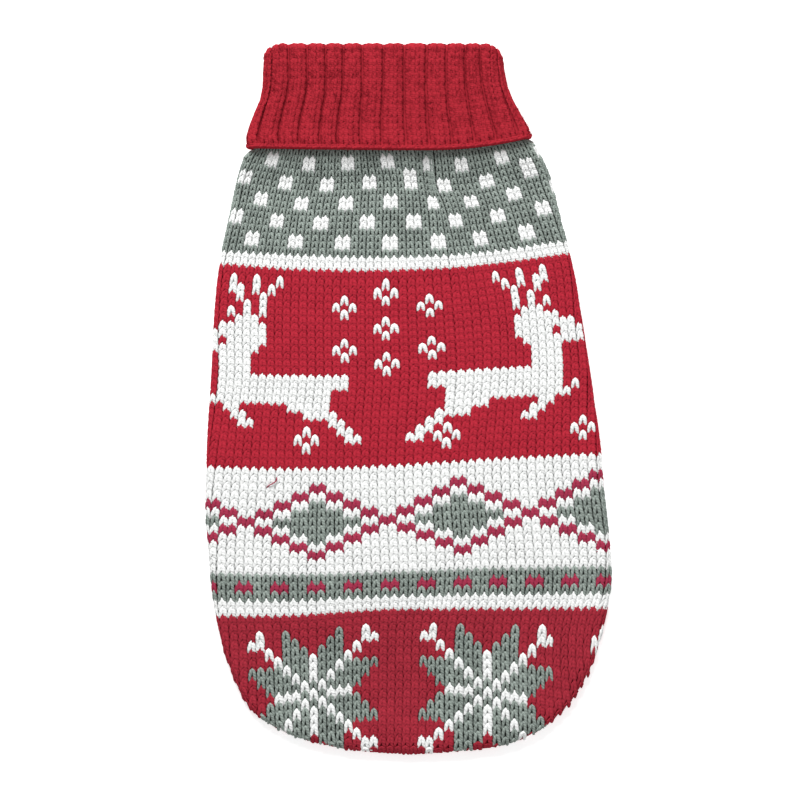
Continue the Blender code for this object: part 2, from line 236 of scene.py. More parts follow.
def star(wale, course):
    """White arms, slanting and straight, with grey petals between them."""
    across = abs((wale - STAR_WALE + STAR_REPEAT / 2) % STAR_REPEAT - STAR_REPEAT / 2)
    near, far = sorted((int(across), abs(course - STAR_COURSE)))
    slanting = near == far and far < STAR_ARM
    straight = near == 0 and STAR_CROSS[0] <= far <= STAR_CROSS[1]
    if slanting or straight or (near, far) == (STAR_ARM - 1, STAR_ARM):
        return WHITE
    petal = 1 <= near <= PETAL_WIDTH and near < far <= near + PETAL_LENGTH
    return GREY if petal or (near, far) == (0, 1) else RED


def yarn_of(wale, course):
    """Which yarn the stitch is knitted in."""
    if course >= STAR_START:
        return star(wale, course)
    if course >= STRIPE_TWO:
        return WHITE
    if course >= DASH_START:
        return dashes(wale, course)
    if course >= DIAMOND_START:
        return diamonds(wale, course)
    if course >= DEER_START:
        return deer(wale, course)
    return WHITE if course >= STRIPE_ONE else dots(wale, course)


# ------------------------------------------------------------------ from wale and course to a place
FOOT_CHUNK = 4000  # places whose nearest point on the outline is looked for at a time


def curve_through(points, per_span=8):
    """A smooth line through the points."""
    p = np.array(points, float)
    p = np.vstack([2 * p[0] - p[1], p, 2 * p[-1] - p[-2]])
    line = []
    for a, b, c, d in zip(p, p[1:], p[2:], p[3:]):
        for t in np.linspace(0, 1, per_span, endpoint=False):
            line.append(b + (c - a) * t / 2 + (2 * a - 5 * b + 4 * c - d) * t**2 / 2
                        + (3 * b - a - 3 * c + d) * t**3 / 2)
    return np.array(line + [p[-2]])


def evenly(line, step):
    """The line again, as points that lie about a step apart."""
    length = np.concatenate([[0], np.cumsum(np.linalg.norm(np.diff(line, axis=0), axis=1))])
    at = np.linspace(0, length[-1], int(length[-1] / step) + 1)
    return np.column_stack([np.interp(at, length, line[:, k]) for k in range(line.shape[1])])


SIDE = {name: curve_through([(x, y) for y, x in table])
        for name, table in (("left", LEFT_EDGE), ("right", RIGHT_EDGE))}
OUTLINE = evenly(np.vstack([SIDE["left"], SIDE["right"][::-1][1:]]), 1.0)


def unit(v):
    """The vectors made one long."""
    return v / np.maximum(np.linalg.norm(v, axis=-1, keepdims=True), 1e-9)


def running_mean(values, reach):
    """Each row's mean with as many neighbours as the reach on either side."""
    padded = np.vstack([values[:1]] * reach + [values] + [values[-1:]] * reach)
    return np.mean([padded[i:i + len(values)] for i in range(2 * reach + 1)], axis=0)


OUTLINE_ALONG = unit(running_mean(np.gradient(OUTLINE, axis=0), 3))
OUTLINE_OUT = np.column_stack([OUTLINE_ALONG[:, 1], -OUTLINE_ALONG[:, 0]])
OUTLINE_IN = OUTLINE - OUTLINE_OUT * FOLD_RADIUS


def edge_x(side, y):
    """x of the flat body's outline."""
    line = SIDE[side][::-1]
    return np.interp(y, line[:, 1], line[:, 0])


def lift(y):
    """How far the body rises over the collar's lower layers."""
    return COLLAR_LAYER * smooth(y, NECK_LIFT_START, NECK_LIFT_END)


def top_height(x, y):
    """Height of the body's upper face, with its crown, the sag of the tail and the pleat."""
    left, right = edge_x("left", y), edge_x("right", y)
    across = np.clip(2 * (x - left) / np.maximum(right - left, 1.0) - 1, -1, 1)
    crown = CROWN * (1 - across**4) * smooth(y, NECK_LIFT_END, PLEAT_END) * smooth(y, *CROWN_FADE)
    sag = FLAP_SAG * (1 - across**2) * smooth(y, *FLAP_SAG_FADE) * smooth(y, *FLAP_HEM_FADE)
    ramp = smooth(y, PLEAT_END, NECK_LIFT_END)
    pleat = PLEAT_DEPTH * ramp * np.exp(-(((x - SPINE_X) / PLEAT_WIDTH) ** 2))
    return BODY_HEIGHT + lift(y) + crown - sag - pleat


def through(at, places, rows):
    """A smooth curve through the rows' values at their places, read at others; straight beyond its ends."""
    slopes = np.gradient(rows, places, axis=0)
    inside = np.clip(at, places[0], places[-1])
    i = np.clip(np.searchsorted(places, inside, side="right") - 1, 0, len(places) - 2)
    n = np.arange(len(at))
    step = places[i + 1] - places[i]
    t = (inside - places[i]) / step
    low, high = rows[i, n], rows[i + 1, n]
    value = ((2 * t**3 - 3 * t**2 + 1) * low + (t**3 - 2 * t**2 + t) * step * slopes[i, n]
             + (3 * t**2 - 2 * t**3) * high + (t**3 - t**2) * step * slopes[i + 1, n])
    return value + (at - inside) * slopes[np.where(at < inside, 0, len(places) - 1), n]


def wale_rows(wale):
    """x at the courses in the table, each row read at the wales; straight beyond the outer columns."""
    columns = np.array(WALE_COLUMNS, float)
    rows = []
    for row in np.array(WALE_TABLE)[:, 1:]:
        low = (row[1] - row[0]) / (columns[1] - columns[0]) * np.minimum(wale - columns[0], 0)
        high = (row[-1] - row[-2]) / (columns[-1] - columns[-2]) * np.maximum(wale - columns[-1], 0)
        rows.append(np.interp(wale, columns, row) + low + high)
    return np.array(rows)


def course_rows(wale):
    """y of the courses in the table, each as a smooth curve across the wales."""
    columns, at = np.array(COURSE_COLUMNS, float), np.clip(wale, *COURSE_ENDS)
    values = np.array(COURSE_TABLE)[:, 1:]
    return np.array([through(at, columns, np.repeat(row[:, None], len(at), axis=1)) for row in values])


def flat_place(wale, course):
    """x and y of a place in the knit, on the cloth as if it ran on flat past the side folds."""
    wale, course = np.asarray(wale, float), np.asarray(course, float)
    x = through(course, np.array(WALE_TABLE)[:, 0], wale_rows(wale))
    y = through(course, np.array(COURSE_TABLE)[:, 0], course_rows(wale))
    return x, y


def on_outline(x, y):
    """For each flat place: its foot on the fold's inner line, the way out, how far out it is, and the limit.

    The way out is level along the sides and square to the outline round the tail.
    """
    q = np.column_stack([x, y])
    parts = np.array_split(q, len(q) // FOOT_CHUNK + 1)
    nearest = np.concatenate([((part[:, None] - OUTLINE_IN) ** 2).sum(-1).argmin(1) for part in parts])
    out, along, foot = OUTLINE_OUT[nearest], OUTLINE_ALONG[nearest], OUTLINE_IN[nearest]
    away = ((q - foot) * out).sum(1)
    foot = foot + along * ((q - foot) * along).sum(1)[:, None]
    side = np.where(out[:, 0] < 0, -1.0, 1.0)
    limit = cloth_limit(*OUTLINE[nearest].T, side)
    edge = np.where(side < 0, edge_x("left", y), edge_x("right", y))
    level = smooth(y, *LEVEL_FOLD)
    level_foot = np.column_stack([edge - side * FOLD_RADIUS, y])
    level_away = side * (x - level_foot[:, 0])
    share = level[:, None]
    out = unit(out * (1 - share) + np.column_stack([side, np.zeros(len(side))]) * share)
    return (foot * (1 - share) + level_foot * share, out, away * (1 - level) + level_away * level,
            limit * (1 - level) + cloth_limit(edge, y, side) * level)


def wrapped(x, y, heights, hold=False):
    """Places in space: flat on top, round the fold, and flat again on the underside.

    heights says how far outside the cloth's face they are, on top, at the fold and underneath. What lies
    beyond the cloth's edge may be held back at it.
    """
    foot, out, away, limit = on_outline(x, y)
    if hold:
        away = np.minimum(away, limit)
    r = FOLD_RADIUS
    proud = np.interp(away, (0.0, np.pi / 2 * r, np.pi * r), heights)
    turn = np.clip(away / r, 0, np.pi)
    beyond = np.maximum(away - np.pi * r, 0)
    reach = (r + proud) * np.sin(turn) - beyond
    base = lift(foot[:, 1])
    side = np.column_stack([foot + out * reach[:, None], base + r + (r + proud) * np.cos(turn)])
    top = np.column_stack([x, y, top_height(x, y) + proud])
    return np.where((away <= 0)[:, None], top, side), away, limit


def belly_half(y):
    """Half the belly panel's width between its seams."""
    rows = np.array(BELLY_WIDTH)
    return np.interp(-y, -rows[:, 0], rows[:, 1])


def leg_bite(y):
    """Half the width of the leg openings."""
    return LEG_HALF_WIDTH * np.sqrt(np.clip(1 - ((y - LEG_CENTRE) / LEG_HALF_LENGTH) ** 2, 0, 1))


def cloth_limit(x, y, side):
    """How far round the edge the back panel goes from a place on the outline: to its seam, or its hem."""
    seam = BELLY_MIDDLE - BELLY_LEAN * y + side * (belly_half(y) + SEAM_GAP / 2 + leg_bite(y))
    width = HEM_TURN + (np.abs(x - seam) - HEM_TURN) * smooth(y, HEM_START, WRAP_END)
    return np.pi * FOLD_RADIUS + width - FOLD_RADIUS


# ------------------------------------------------------------------ what the operators share
YARN_SIDES = 6
# One half of a stitch, from its foot to the middle of its arch: x in wales, y in courses, and its height and
# the yarn's radius in millimetres.
STITCH_LINE = [
    (0.325, -0.66, -0.36, 0.84),
    (0.298, -0.38, -0.08, 1.08),
    (0.245, 0.08, 0.02, 1.16),
    (0.168, 0.46, -0.06, 1.10),
    (0.0, 0.62, -0.30, 1.02),
]
FULL_STITCH_LINE = [
    (0.285, -0.74, -2.20, 0.80),
    (0.280, -0.48, -0.10, 1.05),
    (0.252, 0.00, 0.00, 1.14),
    (0.200, 0.45, -0.08, 1.08),
    (0.0, 0.68, -0.90, 0.92),
]
RIB_STITCH_LINE = [
    (0.270, -0.74, -0.34, 1.12),
    (0.262, -0.40, -0.06, 1.36),
    (0.252, 0.05, 0.00, 1.40),
    (0.225, 0.44, -0.04, 1.38),
    (0.0, 0.68, -0.40, 1.20),
]
CHAIN_NARROW = 0.62  # how far apart the legs of a chain's stitch are, against a rib's
CHAIN_LINE = [(x * CHAIN_NARROW, y, z, r) for x, y, z, r in RIB_STITCH_LINE]
FIBRE_LINE = [(0.28, -0.34, -0.5, 0.07), (0.16, 0.1, 0.35, 0.07), (0.0, 0.3, 0.6, 0.06)]
PITCH = (4.45, 4.75)  # the wale and the course that the stitch's radius is drawn for
LEAST_WIDTH = 0.6  # of a stitch that is pinched in the pleat, as a share of its pitch


def tube(line, radii, sides, name):
    """A mesh tube along a line; its UV runs along the yarn and round it, in millimetres and turns."""
    line, radii = np.array(line, float), np.array(radii, float)
    tangent = unit(np.gradient(line, axis=0))
    first = unit(np.cross(tangent, (0.0, 1.0, 0.0)) + 1e-6)
    second = np.cross(tangent, first)
    turn = np.linspace(0, 2 * np.pi, sides, endpoint=False)
    ring = first[:, None] * np.cos(turn)[:, None] + second[:, None] * np.sin(turn)[:, None]
    points = (line[:, None] + ring * radii[:, None, None]).reshape(-1, 3)
    length = np.concatenate([[0], np.cumsum(np.linalg.norm(np.diff(line, axis=0), axis=1))])
    faces, uvs = [], []
    for i in range(len(line) - 1):
        for j in range(sides):
            k = (j + 1) % sides
            faces.append((i * sides + j, i * sides + k, (i + 1) * sides + k, (i + 1) * sides + j))
            a, b = j / sides, (j + 1) / sides
            uvs += [(length[i], a), (length[i], b), (length[i + 1], b), (length[i + 1], a)]
    return make_mesh(name, points, faces, uvs)


def make_mesh(name, points, faces, uvs=None):
    """A smooth mesh from points in millimetres."""
    mesh = bpy.data.meshes.new(name)
    mesh.from_pydata([tuple(p) for p in np.array(points) * MM], [], faces)
    if uvs is not None:
        layer = mesh.uv_layers.new(name="yarn")
        layer.data.foreach_set("uv", np.array(uvs, float).ravel())
    mesh.shade_smooth()
    return mesh


def add_object(context, name, mesh):
    """A new object at the scene's origin."""
    made = bpy.data.objects.new(name, mesh)
    context.scene.collection.objects.link(made)
    return made


def make_plain(obj):
    """The object keeps the mesh that its modifiers make, and loses the modifiers."""
    bpy.context.view_layer.update()
    graph = bpy.context.evaluated_depsgraph_get()
    made = obj.evaluated_get(graph)
    mesh = bpy.data.meshes.new_from_object(made, preserve_all_data_layers=True, depsgraph=graph)
    obj.modifiers.clear()
    old, obj.data = obj.data, mesh
    mesh.name = obj.name
    bpy.data.meshes.remove(old)
    return obj


def point_mesh(name, centres, vectors):
    """Loose points that carry named vectors."""
    mesh = bpy.data.meshes.new(name)
    mesh.from_pydata([tuple(p) for p in centres * MM], [], [])
    for key, values in vectors.items():
        layer = mesh.attributes.new(key, "FLOAT_VECTOR", "POINT")
        layer.data.foreach_set("vector", np.array(values, float).ravel())
    return mesh


def new_tree(name, inputs):
    """A Geometry Nodes tree with the named inputs."""
    tree = bpy.data.node_groups.new(name, "GeometryNodeTree")
    tree.interface.new_socket("Geometry", in_out="INPUT", socket_type="NodeSocketGeometry")
    for label, kind, default in inputs:
        socket = tree.interface.new_socket(label, in_out="INPUT", socket_type=kind)
        if default is not None:
            socket.default_value = default
    tree.interface.new_socket("Geometry", in_out="OUTPUT", socket_type="NodeSocketGeometry")
    return tree


def add_node(tree, kind, place, settings=None, values=None):
    """A node with its settings and its inputs' values. A value that is another node's output is linked."""
    node = tree.nodes.new(kind)
    node.location = place
    for key, value in (settings or {}).items():
        setattr(node, key, value)
    for key, value in (values or {}).items():
        if isinstance(value, bpy.types.NodeSocket):
            tree.links.new(value, node.inputs[key])
        else:
            node.inputs[key].default_value = value
    return node


def calculate(tree, operation, place, *values):
    """The result of a Math node."""
    node = add_node(tree, "ShaderNodeMath", place, {"operation": operation}, dict(enumerate(values)))
    return node.outputs[0]


def uneven(tree, given, key, middle, x, y):
    """A random number for each stitch: the middle, more or less the group's input of that name."""
    low = calculate(tree, "SUBTRACT", (x - 250, y), middle, given[key])
    high = calculate(tree, "ADD", (x - 250, y + 150), middle, given[key])
    chance = add_node(tree, "FunctionNodeRandomValue", (x, y), {"data_type": "FLOAT"},
                      {2: low, 3: high, "Seed": given["Seed"]})
    return chance.outputs[1]


def stitch_tree():
    """Instances of one stitch on points that say which way it runs and how large it is."""
    tree = bpy.data.node_groups.get("sweater_stitches")
    if tree:
        return tree
    tree = new_tree("sweater_stitches", [
        ("Stitch", "NodeSocketObject", None), ("Uneven Size", "NodeSocketFloat", 0.05),
        ("Uneven Turn", "NodeSocketFloat", 0.06), ("Uneven Tone", "NodeSocketFloat", 1.0),
        ("Seed", "NodeSocketInt", 1), ("Material", "NodeSocketMaterial", None),
    ])
    given = add_node(tree, "NodeGroupInput", (-1200, 0)).outputs
    stitch = add_node(tree, "GeometryNodeObjectInfo", (-700, -100), {"transform_space": "ORIGINAL"},
                      {"Object": given["Stitch"], "As Instance": True})
    named = []
    for i, key in enumerate(("out_way", "up_way", "size")):
        node = add_node(tree, "GeometryNodeInputNamedAttribute", (-900, -300 - 150 * i),
                        {"data_type": "FLOAT_VECTOR"}, {"Name": key})
        named.append(node.outputs["Attribute"])
    out_way, up_way, size = named
    axes = add_node(tree, "FunctionNodeAxesToRotation", (-650, -350),
                    {"primary_axis": "Z", "secondary_axis": "Y"},
                    {"Primary Axis": out_way, "Secondary Axis": up_way})
    turn = add_node(tree, "FunctionNodeAxisAngleToRotation", (-450, 250), None,
                    {"Axis": (0.0, 0.0, 1.0), "Angle": uneven(tree, given, "Uneven Turn", 0.0, -650, 250)})
    rotation = add_node(tree, "FunctionNodeRotateRotation", (-250, -250), {"rotation_space": "LOCAL"},
                        {"Rotation": axes.outputs["Rotation"], "Rotate By": turn.outputs["Rotation"]})
    scale = add_node(tree, "ShaderNodeVectorMath", (-250, -500), {"operation": "SCALE"},
                     {0: size, "Scale": uneven(tree, given, "Uneven Size", 1.0, -650, 600)})
    placed = add_node(tree, "GeometryNodeInstanceOnPoints", (0, 0), None, {
        "Points": given["Geometry"], "Instance": stitch.outputs["Geometry"],
        "Rotation": rotation.outputs["Rotation"], "Scale": scale.outputs["Vector"],
    })
    toned = add_node(tree, "GeometryNodeStoreNamedAttribute", (250, 0),
                     {"data_type": "FLOAT", "domain": "INSTANCE"},
                     {"Geometry": placed.outputs["Instances"], "Name": "tone",
                      "Value": uneven(tree, given, "Uneven Tone", 0.0, 0, 400)})
    real = add_node(tree, "GeometryNodeRealizeInstances", (450, 0), None,
                    {"Geometry": toned.outputs["Geometry"]})
    painted = add_node(tree, "GeometryNodeSetMaterial", (650, 0), None,
                       {"Geometry": real.outputs["Geometry"], "Material": given["Material"]})
    add_node(tree, "NodeGroupOutput", (900, 0), None, {"Geometry": painted.outputs["Geometry"]})
    return tree


def run_tree(obj, tree, values):
    """The plain mesh that the tree makes of the object, with the named inputs' values."""
    modifier = obj.modifiers.new("made", "NODES")
    modifier.node_group = tree
    for item in tree.interface.items_tree:
        if item.item_type == "SOCKET" and item.in_out == "INPUT" and item.name in values:
            modifier[item.identifier] = values[item.name]
    return make_plain(obj)


def stitch_object(context, name, sides, half, swell=1.0):
    """A stitch as two legs that meet in an arch, at the origin and with its own size."""
    full = half + [(-x, y, z, r) for x, y, z, r in half[-2::-1]]
    line = [(x * PITCH[0], y * PITCH[1], z) for x, y, z, _ in full]
    made = add_object(context, name, tube(line, [r * swell for *_, r in full], sides, name))
    made.hide_render = True
    return made


def lay_stitches(context, name, stitch, places, key, seed, flatness):
    """One piece in the yarn of that key: a stitch at each centre, as the vectors across and along it say."""
    settings = context.scene.sweater
    centres, across, along = places
    width, height = np.linalg.norm(across, axis=1), np.linalg.norm(along, axis=1)
    size = np.column_stack([np.maximum(width / PITCH[0], LEAST_WIDTH), height / PITCH[1],
                            np.full(len(width), flatness)])
    vectors = {"out_way": unit(np.cross(across, along)), "up_way": unit(along), "size": size}
    material = yarn_material(settings, key)
    stitch.data.materials.clear()
    stitch.data.materials.append(material)
    points = add_object(context, name, point_mesh(name, centres, vectors))
    return run_tree(points, stitch_tree(), {
        "Stitch": stitch, "Uneven Size": settings.uneven_size, "Uneven Turn": settings.uneven_turn,
        "Seed": settings.seed + seed, "Material": material,
    })


# ------------------------------------------------------------------ materials
# How light a yarn's darker colour is, as a share of its colour: painted shade between its plies, and its
# random mottle.
PLY_SHADE_AND_MOTTLE = {"red": 0.8, "crimson": 0.8, "deep_red": 0.7, "white": 0.9, "grey": 0.4, "collar": 0.9}
TWIST, PLIES = 0.55, 2.0  # how often a ply comes by in a millimetre along the yarn, and in one turn round it
ROUGHNESS = 0.95


def plain_material(name, colour):
    """One even, dull colour."""
    material = bpy.data.materials.new(name)
    material.use_nodes = True
    shader = material.node_tree.nodes["Principled BSDF"]
    shader.inputs["Base Color"].default_value = (*colour, 1.0)
    shader.inputs["Roughness"].default_value = ROUGHNESS
    shader.inputs["Specular IOR Level"].default_value = 0.0
    return material


def give_relief(material, colour, height, strength, distance):
    """The material as it is, with its colour and its bumps taken from other nodes' outputs."""
    tree = material.node_tree
    bump = add_node(tree, "ShaderNodeBump", (-220, -300), None,
                    {"Strength": strength, "Distance": distance, "Height": height})
    shader = tree.nodes["Principled BSDF"]
    tree.links.new(colour, shader.inputs["Base Color"])
    tree.links.new(bump.outputs["Normal"], shader.inputs["Normal"])
    return material


def yarn_material(settings, key):
    """Plied, slightly fuzzy yarn in one of the settings' colours, darker between its plies as painted shade
    and mottled at random. Its twist comes from the UV along it.
    """
    name, colour = f"plied_{key}", getattr(settings, key)
    material = bpy.data.materials.get(name)
    if material:
        return material
    material = plain_material(name, colour)
    tree = material.node_tree
    where = add_node(tree, "ShaderNodeTexCoord", (-1200, -200)).outputs["Object"]
    along = add_node(tree, "ShaderNodeUVMap", (-1200, 200), {"uv_map": "yarn"}).outputs["UV"]
    split = add_node(tree, "ShaderNodeSeparateXYZ", (-1000, 200), None, {"Vector": along}).outputs
    strand = calculate(tree, "MULTIPLY", (-950, 50), split["Y"], PLIES)
    twist = calculate(tree, "MULTIPLY_ADD", (-800, 250), split["X"], TWIST, strand)
    wave = calculate(tree, "PINGPONG", (-620, 250), twist, 0.5)
    fibre = add_node(tree, "ShaderNodeTexNoise", (-900, -250), None,
                     {"Vector": where, "Scale": 1500.0, "Detail": 3.0}).outputs["Fac"]
    cloud = add_node(tree, "ShaderNodeTexNoise", (-900, -450), None,
                     {"Vector": where, "Scale": 90.0, "Detail": 2.0}).outputs["Fac"]
    tone = add_node(tree, "ShaderNodeAttribute", (-900, -650), {"attribute_name": "tone"}).outputs["Fac"]
    height = calculate(tree, "MULTIPLY_ADD", (-620, -50), fibre, 0.8, wave)
    clouded = calculate(tree, "MULTIPLY_ADD", (-620, 100), cloud, 0.6, height)
    toned = calculate(tree, "MULTIPLY_ADD", (-620, -250), tone, 0.12, clouded)
    level = add_node(tree, "ShaderNodeMapRange", (-430, 100), None,
                     {"Value": toned, "From Min": 0.5, "From Max": 1.4}).outputs["Result"]
    # Painted shade between the plies, mixed with the yarn's random mottle and tone.
    mix = add_node(tree, "ShaderNodeMix", (-220, 150), {"data_type": "RGBA"}, {
        "Factor": level, "A": (*(c * PLY_SHADE_AND_MOTTLE[key] for c in colour), 1.0), "B": (*colour, 1.0),
    })
    return give_relief(material, mix.outputs["Result"], height, 0.55, 0.0005)


def cloth_material(name):
    """The knit's ground, in a colour for each stitch's yarn, with the bumps that knitting has on its inside,
    whose hollows are darkened as painted shade.

    Its UV counts wales and courses. A course has two rows of bumps, each set between the bumps of the next.
    """
    material = plain_material(name, (0.1, 0.02, 0.03))
    tree = material.node_tree
    colour = add_node(tree, "ShaderNodeAttribute", (-300, 100), {"attribute_name": "ground"}).outputs["Color"]
    stitch = add_node(tree, "ShaderNodeUVMap", (-1200, -200), {"uv_map": "yarn"}).outputs["UV"]
    split = add_node(tree, "ShaderNodeSeparateXYZ", (-1000, -200), None, {"Vector": stitch}).outputs
    waves = []
    for axis, y in (("X", -200), ("Y", -380)):
        turned = calculate(tree, "MULTIPLY", (-800, y), split[axis], math.tau)
        waves.append(calculate(tree, "COSINE", (-620, y), turned))
    height = calculate(tree, "MULTIPLY", (-450, -200), *waves)
    # Painted shade: the colour is darkened down to 0.55 in the hollows between the bumps.
    level = add_node(tree, "ShaderNodeMapRange", (-300, -50), None,
                     {"Value": height, "From Min": -1.0, "To Min": 0.55}).outputs["Result"]
    shaded = add_node(tree, "ShaderNodeMix", (-120, 100), {"data_type": "RGBA", "blend_type": "MULTIPLY"},
                      {"Factor": 1.0, "A": colour, "B": level})
    return give_relief(material, shaded.outputs["Result"], height, 0.8, 0.0008)


def give_thickness(obj, depth):
    """The object's faces stay outside, and a wall of that depth lies inside them."""
    modifier = obj.modifiers.new("thickness", "SOLIDIFY")
    modifier.thickness = depth * MM
    modifier.offset = -1.0
    return make_plain(obj)


# ------------------------------------------------------------------ the back panel
# How far outside the cloth's face the middle of a stitch and the ground lie: on top, at the side fold, and
# underneath.
STITCH_PROUD = (-0.45, -1.2, -1.0)
GROUND_PROUD = (-1.1, -1.8, -1.5)
GROUND_DEPTH = 0.8
EDGE_MARGIN = 1.6  # between the panel's edge and the middle of its last stitches
WALES, COURSES = (-46, 50), (-2, 90)
MERGE = 0.05  # corners of the ground that lie nearer than this become one
# Colours of the ground: outside, darkened copies of the yarns' colours as painted shade between the stitches;
# inside, the yarns' own colours.
GROUND_SHADE_LOOKS = {RED: (0.36, 0.02, 0.035), WHITE: (0.65, 0.66, 0.65), GREY: (0.05, 0.057, 0.05)}
INSIDE_LOOKS = {RED: (0.38, 0.025, 0.04), WHITE: (0.8, 0.81, 0.8), GREY: (0.25, 0.28, 0.26)}


def back_stitches():
    """Centre, across and along vectors, wale and course of every stitch of the back panel."""
    wale, course = (a.ravel() for a in np.meshgrid(np.arange(*WALES), np.arange(*COURSES), indexing="ij"))
    centre, away, limit = wrapped(*flat_place(wale + 0.5, course + 0.5), STITCH_PROUD)
    keep = limit - away > EDGE_MARGIN
    wale, course, centre = wale[keep], course[keep], centre[keep]
    sides = [wrapped(*flat_place(wale + dw, course + dc), STITCH_PROUD)[0]
             for dw, dc in ((1.0, 0.5), (0.0, 0.5), (0.5, 0.0), (0.5, 1.0))]
    return centre, sides[0] - sides[1], sides[2] - sides[3], wale, course


def ground_mesh():
    """The back panel's thin ground as a grid of half stitches, cut off where the panel ends."""
    wales, courses = (np.arange(2 * low, 2 * high + 1) / 2 for low, high in (WALES, COURSES))
    wale, course = (a.ravel() for a in np.meshgrid(wales, courses, indexing="ij"))
    points, away, limit = wrapped(*flat_place(wale, course), GROUND_PROUD, hold=True)
    held = away >= limit - 1e-6
    count = len(courses)
    faces, yarns, uvs = [], [], []
    for i in range(len(wales) - 1):
        for j in range(count - 1):
            corners = (i * count + j + 1, (i + 1) * count + j + 1, (i + 1) * count + j, i * count + j)
            if not all(held[c] for c in corners):
                faces.append(corners)
                yarns.append(yarn_of(math.floor(wales[i]), math.floor(courses[j])))
                uvs += [(wale[c], course[c]) for c in corners]
    mesh = make_mesh("back_cloth", points, faces, uvs)
    mesh.attributes.new("yarn_kind", "INT", "FACE").data.foreach_set("value", yarns)
    bm = bmesh.new()
    bm.from_mesh(mesh)
    bmesh.ops.delete(bm, geom=[v for v in bm.verts if not v.link_faces], context="VERTS")
    bmesh.ops.remove_doubles(bm, verts=bm.verts, dist=MERGE * MM)
    bm.to_mesh(mesh)
    bm.free()
    return mesh


def paint_ground(mesh, outside):
    """Colours the ground: outside in darkened colours as painted shade between the stitches, inside in the
    yarns' own. Its first faces lie outside, as many as the number says, and the rest inside.
    """
    yarns = np.zeros(len(mesh.polygons), dtype=np.int32)
    mesh.attributes["yarn_kind"].data.foreach_get("value", yarns)
    looks = [GROUND_SHADE_LOOKS] * outside + [INSIDE_LOOKS] * (len(yarns) - outside)
    colours = [(*look[yarn], 1.0) for look, yarn in zip(looks, yarns)]
    corners = [len(face.vertices) for face in mesh.polygons]
    layer = mesh.attributes.new("ground", "FLOAT_COLOR", "CORNER")
    layer.data.foreach_set("color", np.repeat(colours, corners, axis=0).ravel())


class SWEATER_OT_back_cloth(Operator):
    """Makes the thin ground of the back panel, which shows as shadow between the stitches"""

    bl_idname = "sweater.back_cloth"
    bl_label = "Back Cloth"
    bl_options = {"REGISTER", "UNDO"}

    def execute(self, context):
        cloth = add_object(context, "back_cloth", ground_mesh())
        cloth.data.materials.append(cloth_material("knit_ground"))
        outside = len(cloth.data.polygons)
        paint_ground(give_thickness(cloth, GROUND_DEPTH).data, outside)
        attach(cloth, "root")
        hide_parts("back_panel")
        return {"FINISHED"}


BACK_YARNS = [  # piece, yarn, key of its colour, first course, the course after its last, slot
    ("red_deer_band", RED, "red", COURSES[0], DIAMOND_START, "red_yarn"),
    ("red_diamond_band", RED, "crimson", DIAMOND_START, STRIPE_TWO, "red_yarn"),
    ("red_tail_band", RED, "deep_red", STRIPE_TWO, COURSES[1], "red_yarn"),
    ("white_upper", WHITE, "white", COURSES[0], DIAMOND_START, None),
    ("white_lower", WHITE, "white", DIAMOND_START, COURSES[1], None),
    ("white_flakes", FLAKE, "white", *COURSES, None),
    ("grey_stitches", GREY, "grey", *COURSES, None),
]
# Each yarn's line, how full the yarn is, and how high its stitches stand as a share of the line's own height.
STITCHES = {
    RED: (FULL_STITCH_LINE, 1.2, 0.34),
    WHITE: (FULL_STITCH_LINE, 1.12, 0.38),
    GREY: (STITCH_LINE, 0.84, 0.9),
    FLAKE: (STITCH_LINE, 0.98, 0.75),
}


class SWEATER_OT_back_stitches(Operator):
    """Knits the back panel: a stitch of the charted yarn at each wale and course"""

    bl_idname = "sweater.back_stitches"
    bl_label = "Back Stitches"
    bl_options = {"REGISTER", "UNDO"}

    def execute(self, context):
        shapes = {kind: stitch_object(context, "stitch_shape", YARN_SIDES, line, swell)
                  for kind, (line, swell, _) in STITCHES.items()}
        *places, wale, course = back_stitches()
        yarn, before, after = (np.array([yarn_of(w + step, c) for w, c in zip(wale, course)])
                               for step in (0, -1, 1))
        yarn[(yarn == WHITE) & (before != WHITE) & (after != WHITE)] = FLAKE
        for number, (name, kind, key, first, last, slot) in enumerate(BACK_YARNS):
            mine = (yarn == kind) & (course >= first) & (course < last)
            piece = lay_stitches(context, name, shapes[kind], [place[mine] for place in places], key, number,
                                 STITCHES[kind][2])
            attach(piece, "root")
        for shape in shapes.values():
            bpy.data.objects.remove(shape, do_unlink=True)
        return {"FINISHED"}


# ------------------------------------------------------------------ the belly panel
BELLY_WALE, BELLY_COURSE = PITCH
BELLY_WALES = 12  # on each side of the middle, at most
BELLY_STITCH_Z, BELLY_GROUND_Z = 0.75, 1.2
BELLY_GRID = (41, 93)  # points of the ground, across and along
BELLY_SIDES = 5  # of the yarn's tube, which is plainer there
BELLY_ROUNDS = 4  # of finding a place, since its x and its y depend on each other
BELLY_SEED, COLLAR_SEED, CHAIN_SEED = 20, 30, 40  # what each group of stitches adds to the seed


def neck_rise(x):
    """How much further up the neck seam lies than at the spine."""
    left = x < SPINE_X
    edge = np.where(left, NECK_CORNERS["left"], NECK_CORNERS["right"])
    rise = np.where(left, FREE_EDGE["left"], FREE_EDGE["right"]) - FREE_EDGE["spine"]
    return rise * ((x - SPINE_X) / (edge - SPINE_X)) ** 2


def belly_place(share, flat_y):
    """A place on the belly panel: share is -1 at its left edge and 1 at its right one."""
    corner = np.clip(BELLY_END + BELLY_CORNER - flat_y, 0, BELLY_CORNER)
    inset = BELLY_CORNER - np.sqrt(BELLY_CORNER**2 - corner**2)
    y = flat_y
    for _ in range(BELLY_ROUNDS):
        x = BELLY_MIDDLE - BELLY_LEAN * y + share * (belly_half(y) - SEAM_GAP - leg_bite(y) - inset)
        y = flat_y + neck_rise(x) * smooth(flat_y, LEG_CENTRE, NECK_SEAM)
    return x, y


